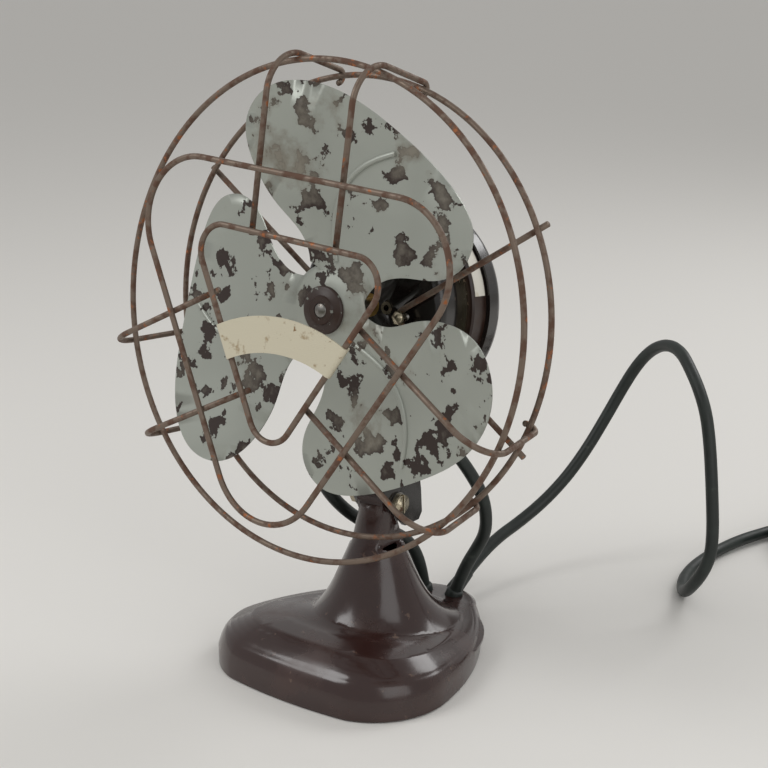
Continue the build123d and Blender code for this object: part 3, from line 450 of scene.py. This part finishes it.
@dataclass
class Motor:
    """Motor housing, its neck bracket and what is inside."""

    skins: dict[str, Finishes] = field(default_factory=lambda: {
        "neck_bracket": Finishes.BLACK_PHENOLIC, "tilt_bolt": Finishes.NICKEL, "tilt_nut": Finishes.NICKEL,
        "tilt_washers": Finishes.STEEL, "motor_front_bell": Finishes.BLACK_PHENOLIC,
        "motor_trim_ring": Finishes.NICKEL, "motor_drum": Finishes.DRUM_PHENOLIC,
        "motor_rear_cover": Finishes.BLACK_PHENOLIC, "motor_bush_left": Finishes.RUBBER,
        "motor_bush_right": Finishes.RUBBER, "guard_studs": Finishes.STEEL, "cap_nuts": Finishes.NICKEL,
        "oil_eyelet": Finishes.NICKEL, "rating_plate": Finishes.BLANK_PLATE})
    inside: dict[str, Finishes] = field(default_factory=lambda: {
        "stator_core": Finishes.LAMINATIONS, "stator_coils": Finishes.COPPER,
        "front_bearing": Finishes.BRONZE, "rear_bearing": Finishes.BRONZE})

    def build(self) -> None:
        """Build the housing's skins and dress the inside."""
        for node, finish in self.skins.items():
            refined(node, finish)
        for node, finish in self.inside.items():
            carried(node, finish)


@dataclass
class Rotor:
    """Shaft, collar, blades and hub disc."""

    blade_count: int = 3
    blade_turn_deg: float = 64.5
    root_back: float = 15.5
    sheet: float = 0.9
    pitch: float = 0.10
    camber: float = 0.00093
    twist: float = 0.00097
    twist_centre: float = 62.0
    rib_radius: float = 1.5
    # Rib's line as (out along the blade's centre line, sideways), in millimetres
    rib_line: tuple[tuple[float, float], ...] = (
        (25, 8), (38, 17), (54, 22), (70, 20), (84, 12), (92, 3))
    blade_crease_deg: float = 40.0

    def surface_point(self, out: float, side: float, turn: float) -> Vector:
        """Find a point on a blade's front face.

        Args:
            out: Distance along the blade's centre line.
            side: Distance to the side of it.
            turn: Turn of this blade about the axis, in radians.

        Returns:
            The point, in millimetres.
        """
        ahead = (self.sheet - self.root_back + self.pitch * side + self.camber * side * side
                 + self.twist * (out - self.twist_centre) * side)
        across = Vector((1, 0, 0))
        out_axis = across * math.cos(turn) + HEAD.upward * math.sin(turn)
        side_axis = HEAD.upward * math.cos(turn) - across * math.sin(turn)
        return HEAD.axis_origin + out_axis * out + side_axis * side + HEAD.forward * ahead

    def build(self) -> None:
        """Build the blades with their ribs, and dress the rest."""
        refined("fan_blade", Finishes.SILVER_PAINT, self.blade_crease_deg)
        for index in range(self.blade_count):
            turn = math.radians(self.blade_turn_deg + index * 360 / self.blade_count)
            points = [self.surface_point(out, side, turn) for out, side in self.rib_line]
            name = f"blade_rib_{index + 1}"
            rib = Route(name, points, 2 * self.rib_radius).tube()
            rib.materials.append(MATERIALS[Finishes.SILVER_PAINT])
            piece = in_scene(name, rib)
            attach(piece, "rotor")
            LOG.info("%s lies on its blade", name)
        refined("hub_boss", Finishes.BROWN_PAINT)
        refined("shaft_collar", Finishes.BROWN_PAINT)
        refined("motor_shaft", Finishes.STEEL)
        carried("rotor_core", Finishes.LAMINATIONS)


@dataclass
class Guard:
    """Rings, spokes, triangles, brackets and banner of the guard, in millimetres."""

    wire_radius: float = 1.6
    front_ring_radius: float = 130.0
    rear_ring_radius: float = 123.4
    ring_spacing: float = 35.7
    ring_steps: int = 240
    wire_sides: int = 20
    wire_crease_deg: float = 60.0
    wires: tuple[str, ...] = ("guard_large_triangle", "guard_small_triangle", "guard_bracket_left",
                              "guard_bracket_right", *(f"guard_spoke_{number}" for number in range(1, 7)))

    def ring(self, node: str, radius: float, ahead: float) -> bpy.types.Object:
        """Spin the wire's section into a ring.

        Args:
            node: Node that the ring stands for.
            radius: Radius at the wire's middle.
            ahead: How far ahead of the front ring it lies.

        Returns:
            The new object.
        """
        centre = (HEAD.guard_centre + HEAD.forward * ahead) * MM
        across = Vector((1, 0, 0))
        turned = Matrix((across, HEAD.forward, HEAD.upward)).transposed().to_4x4()
        work = bmesh.new()
        section = bmesh.ops.create_circle(work, segments=self.wire_sides, radius=self.wire_radius * MM)
        place = Matrix.Translation(centre) @ turned @ Matrix.Translation((radius * MM, 0, 0))
        bmesh.ops.transform(work, verts=section["verts"], matrix=place)
        bmesh.ops.spin(work, geom=list(work.verts) + list(work.edges), cent=centre, axis=HEAD.forward,
                       angle=2 * math.pi, steps=self.ring_steps, use_merge=True)
        bmesh.ops.remove_doubles(work, verts=work.verts, dist=SPIN_WELD_MM * MM)
        bmesh.ops.recalc_face_normals(work, faces=work.faces)
        mesh = bpy.data.meshes.new(f"{node}_wire")
        work.to_mesh(mesh)
        work.free()
        return show_piece(f"{node}_wire", mesh, Finishes.RUSTY_WIRE, node)

    def build(self) -> None:
        """Build every wire and the banner."""
        self.ring("guard_front_ring", self.front_ring_radius, 0.0)
        self.ring("guard_rear_ring", self.rear_ring_radius, -self.ring_spacing)
        for node in self.wires:
            refined(node, Finishes.RUSTY_WIRE, self.wire_crease_deg)
        refined("guard_banner", Finishes.BANNER)


# ---------------------------------------------------------------- cords
@dataclass
class Route:
    """A smooth line through given points, in millimetres, with a round section."""

    name: str
    points: list[Vector]
    diameter: float
    steps: int = 10
    rounding: int = 6

    def curve(self, bevelled: bool) -> bpy.types.Object:
        """Make the route's spline.

        Args:
            bevelled: Whether it gets its round section.

        Returns:
            A curve object.
        """
        data = bpy.data.curves.new(self.name, "CURVE")
        data.dimensions = "3D"
        data.resolution_u = self.steps
        spline = data.splines.new("NURBS")
        spline.points.add(len(self.points) - 1)
        for control, point in zip(spline.points, self.points):
            control.co = (*(Vector(point) * MM), 1.0)
        spline.order_u = 3
        spline.use_endpoint_u = True
        if bevelled:
            data.bevel_depth = self.diameter / 2 * MM
            data.bevel_resolution = self.rounding
            data.use_fill_caps = True
        return in_scene(self.name, data)

    def as_mesh(self, bevelled: bool) -> bpy.types.Mesh:
        """Make a mesh of the route, and remove its curve.

        Args:
            bevelled: Whether it gets its round section.

        Returns:
            The mesh.
        """
        curve = self.curve(bevelled)
        graph = bpy.context.evaluated_depsgraph_get()
        mesh = bpy.data.meshes.new_from_object(curve.evaluated_get(graph))
        bpy.data.objects.remove(curve)
        return mesh

    def tube(self) -> bpy.types.Mesh:
        """Make the tube's mesh, shaded smooth.

        Returns:
            The mesh, with no material.
        """
        mesh = self.as_mesh(True)
        mesh.shade_smooth()
        mesh.materials.clear()
        return mesh

    def line(self) -> list[Vector]:
        """Read the points that the route follows, in metres."""
        return [vertex.co.copy() for vertex in self.as_mesh(False).vertices]


@dataclass
class Cords:
    """Mains cord with its put-away coil, and the two motor leads, in millimetres."""

    diameter: float = 7.6
    mains_exit: Vector = field(default_factory=lambda: Vector((-0.3, 74.4, 7.2)))
    mains_heading: Vector = field(default_factory=lambda: Vector((-0.08, 0.94, 0.33)).normalized())
    relief_length: float = 22.0
    grommet_reach: float = 5.4
    straight_diameters: float = 2.0
    coil_level: float = 5.1
    coil_turns: float = 5.0
    coil_mid_radius: float = 42.0
    coil_pitch: float = 8.2
    coil_steps: int = 16
    coil_lag_turns: float = 0.25
    coil_climb_turns: float = 0.5
    coil_tail_share: float = 1.03
    mains_length: float = 1930.0
    lead_lengths: dict[str, float] = field(default_factory=lambda: {"left": 169.8, "right": 137.8})
    lead_exits: dict[str, tuple[Vector, Vector]] = field(default_factory=lambda: {
        "left": (Vector((-10, 61, 11.0)), Vector((-0.07, -0.13, 0.99))),
        "right": (Vector((8, 65, 11.0)), Vector((0.30, 0.16, 0.94)))})
    lead_middles: dict[str, tuple[tuple[float, float, float], ...]] = field(default_factory=lambda: {
        "left": ((-15, 51, 47), (-21, 37, 57), (-27, 21, 65), (-32, 7, 78), (-38.5, -1, 92),
                 (-42.5, -2.5, 107.5), (-45, 2, 122)),
        "right": ((20, 72.5, 43), (26.5, 72, 55), (28, 70, 69), (27, 65.5, 83), (23.5, 58, 97),
                  (20, 50, 109))})
    bush_places: dict[str, tuple[float, float]] = field(default_factory=lambda: {
        "left": (-120.0, -20.0), "right": (-76.0, 30.0)})
    bush_ring_radius: float = 54.5
    bush_ahead: float = -89.1
    bush_length: float = 12.0

    def start(self, point: Vector, heading: Vector, along: float) -> list[Vector]:
        """Take a cord straight out of its fitting.

        Args:
            point: Where the fitting sits.
            heading: Its outward heading.
            along: Its length.

        Returns:
            Two points.
        """
        straight = self.straight_diameters * self.diameter
        return [point + heading * along, point + heading * (along + straight)]

    def finish(self, side: str) -> list[Vector]:
        """Take a lead straight into its motor bush.

        Args:
            side: Which lead.

        Returns:
            Two points.
        """
        angle, lean = (math.radians(value) for value in self.bush_places[side])
        radial = Vector((1, 0, 0)) * math.cos(angle) + HEAD.upward * math.sin(angle)
        point = HEAD.axis_origin + radial * self.bush_ring_radius + HEAD.forward * self.bush_ahead
        heading = radial * math.cos(lean) - HEAD.forward * math.sin(lean)
        straight = self.straight_diameters * self.diameter
        return [point + heading * (self.bush_length + straight), point + heading * self.bush_length]

    def mains_route(self) -> list[Vector]:
        """List the points from the base, over the hump and down to the coil.

        Returns:
            The points, in millimetres.
        """
        floor = self.diameter / 2
        level = self.coil_level
        chosen = [
            (-1, 128, 27.5), (3, 146, 33), (10.5, 163, 43.5), (18.5, 178, 58), (25.5, 191, 75.5),
            (32, 202, 95), (39, 209.5, 114), (46.5, 212, 129), (55.5, 211, 140.5), (66, 207, 148),
            (77.5, 200, 151.5), (89, 191.5, 150.5), (99.5, 182, 145), (110, 174, 136),
            (119, 167.5, 123.5), (124.5, 163, 107.5), (128.5, 159.5, 89.5), (131.5, 157, 71.5),
            (133.5, 155.5, 55.5), (134, 154, 42.5), (132, 153, 33.5), (127.8, 153.3, 24.8),
            (122.4, 155.5, 17.3), (117, 160.2, 11.1), (111.5, 167, 6.4), (106.5, 175, floor),
            (101.5, 185, floor), (97.5, 198, floor), (95, 216, floor), (95, 241, floor),
            (100, 267, level), (108, 292.5, level), (117.5, 318, level)]
        exit_points = self.start(self.mains_exit, self.mains_heading, self.relief_length)
        return [*exit_points, *(Vector(point) for point in chosen)]

    def coil_route(self, entry: Vector, heading: Vector) -> list[Vector]:
        """Wind the coil: in towards the middle, up a layer, and out again, then straight to the plug.

        Args:
            entry: Where the laid cord ends.
            heading: Its heading there.

        Returns:
            The coil's points.
        """
        outward = Vector((-heading.y, heading.x, 0))
        reversal = self.coil_turns / 2 + self.coil_lag_turns
        start_radius = self.coil_mid_radius + self.coil_pitch * reversal / 2
        centre = entry + heading * self.diameter - outward * start_radius
        step = 2 * math.pi / self.coil_steps
        # A smooth line of this order runs inside the points of a circle, so they are set this much wider
        spread = 4 / (3 + math.cos(step))
        points = [centre + outward * start_radius]
        for index in range(1, int(self.coil_turns * self.coil_steps)):
            turn = index / self.coil_steps
            radius = (start_radius - self.coil_pitch * (reversal - abs(reversal - turn))) * spread
            climbed = min(max((turn - self.coil_turns / 2) / self.coil_climb_turns, 0), 1)
            rise = self.coil_pitch * climbed * climbed * (3 - 2 * climbed)
            angle = step * index
            points.append(centre + outward * radius * math.cos(angle) + heading * radius * math.sin(angle)
                          + Vector((0, 0, rise)))
        end_radius = start_radius - self.coil_pitch * (2 * reversal - self.coil_turns)
        end = centre + outward * end_radius + Vector((0, 0, self.coil_pitch))
        tail = self.coil_tail_share * start_radius
        return [*points, end, end + heading * tail / 2, end + heading * tail]

    def build(self) -> None:
        """Build the mains cord with its coil, the leads and the pieces on the cord."""
        route = self.mains_route()
        heading = (route[-1] - route[-2]).normalized()
        points = [*route, *self.coil_route(route[-1], heading)]
        cord = Route("mains_cord_whole", points, self.diameter).curve(True)
        cord.data.materials.append(MATERIALS[Finishes.RUBBER])
        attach(cord, "stand")
        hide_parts("mains_cord", "cord_coil")
        LOG.info("mains_cord_whole stands for the cord and its coil")
        on_cord = [refined("coil_tie", Finishes.COTTON), refined("plug_body", Finishes.BLACK_PHENOLIC),
                   refined("plug_pins", Finishes.BRONZE)]
        for side in ("left", "right"):
            self.build_lead(side)

    def build_lead(self, side: str) -> None:
        """Build one motor lead; the real lead bends as the head tilts, but this tube stays as built.

        Args:
            side: Which lead.
        """
        point, heading = self.lead_exits[side]
        points = [*self.start(point, heading, self.grommet_reach),
                  *(Vector(middle) for middle in self.lead_middles[side]), *self.finish(side)]
        name = f"motor_lead_{side}_flex"
        route = Route(name, points, self.diameter)
        path = route.line()
        mesh = route.tube()
        mesh.materials.append(MATERIALS[Finishes.RUBBER])
        lead = in_scene(name, mesh)
        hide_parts(f"motor_lead_{side}")
        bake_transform(lead)
        LOG.info("%s bends with the head", name)


# ---------------------------------------------------------------- studio
@dataclass(frozen=True)
class Lamp:
    """A soft square lamp, aimed at the fan."""

    name: str
    place: tuple[float, float, float]
    side: float
    watts: float


@dataclass
class Studio:
    """Pale floor, soft light and the camera, in metres."""

    floor_half: float = 20.0
    floor_colour: str = "#E6E4E0"
    floor_roughness: float = 0.6
    sky_colour: str = "#F2F1EF"
    sky_strength: float = 0.55
    aim: Vector = field(default_factory=lambda: Vector((0, 0, 0.17)))
    lamps: tuple[Lamp, ...] = (
        Lamp("key", (-0.75, -1.0, 1.25), 0.8, 9.0), Lamp("fill", (1.3, -0.5, 0.8), 1.0, 4.0),
        Lamp("rim", (0.4, 1.2, 1.1), 0.7, 6.0))
    camera_place: tuple[float, float, float] = (0.518, -0.6732, 0.4077)
    camera_heading: tuple[float, float, float] = (-0.5816, 0.7635, -0.2807)
    lens_mm: float = 75.0
    sensor_mm: float = 36.0

    def build_floor(self) -> None:
        """Build the floor and paint it."""
        work = bmesh.new()
        bmesh.ops.create_grid(work, x_segments=1, y_segments=1, size=self.floor_half)
        mesh = bpy.data.meshes.new("studio_floor")
        work.to_mesh(mesh)
        work.free()
        material = bpy.data.materials.new("matt_floor_paint")
        material.use_nodes = True
        shader = material.node_tree.nodes["Principled BSDF"]
        shader.inputs["Base Color"].default_value = linear(self.floor_colour)
        shader.inputs["Roughness"].default_value = self.floor_roughness
        mesh.materials.append(material)
        in_scene("studio_floor", mesh)

    def build_lamp(self, lamp: Lamp) -> None:
        """Hang one lamp.

        Args:
            lamp: Where it hangs, and how large and bright it is.
        """
        data = bpy.data.lights.new(lamp.name, "AREA")
        data.size = lamp.side
        data.energy = lamp.watts
        light = in_scene(lamp.name, data)
        light.location = lamp.place
        light.rotation_euler = (self.aim - Vector(lamp.place)).to_track_quat("-Z", "Y").to_euler()

    def build_sky(self) -> None:
        """Light the room evenly from all sides."""
        world = bpy.data.worlds.new("studio_sky")
        world.use_nodes = True
        sky = world.node_tree.nodes["Background"]
        sky.inputs["Color"].default_value = linear(self.sky_colour)
        sky.inputs["Strength"].default_value = self.sky_strength
        bpy.context.scene.world = world

    def build_camera(self) -> None:
        """Place the camera where the photograph was taken from."""
        lens = bpy.data.cameras.new("photo_camera")
        lens.lens = self.lens_mm
        lens.sensor_width = self.sensor_mm
        camera = in_scene("photo_camera", lens)
        camera.location = self.camera_place
        camera.rotation_euler = Vector(self.camera_heading).to_track_quat("-Z", "Y").to_euler()
        bpy.context.scene.camera = camera

    def build(self) -> None:
        """Build the floor, the lamps, the sky and the camera."""
        self.build_floor()
        for lamp in self.lamps:
            self.build_lamp(lamp)
        self.build_sky()
        self.build_camera()
        bpy.context.scene.view_settings.view_transform = "Standard"


def main() -> None:
    """Build the fan and its studio."""
    logging.basicConfig(level=logging.INFO, format="%(name)s: %(message)s")
    for assembly in (Stand(), Motor(), Rotor(), Guard(), Cords(), Studio()):
        LOG.info("building %s", type(assembly).__name__)
        assembly.build()


if __name__ == "__main__":
    main()
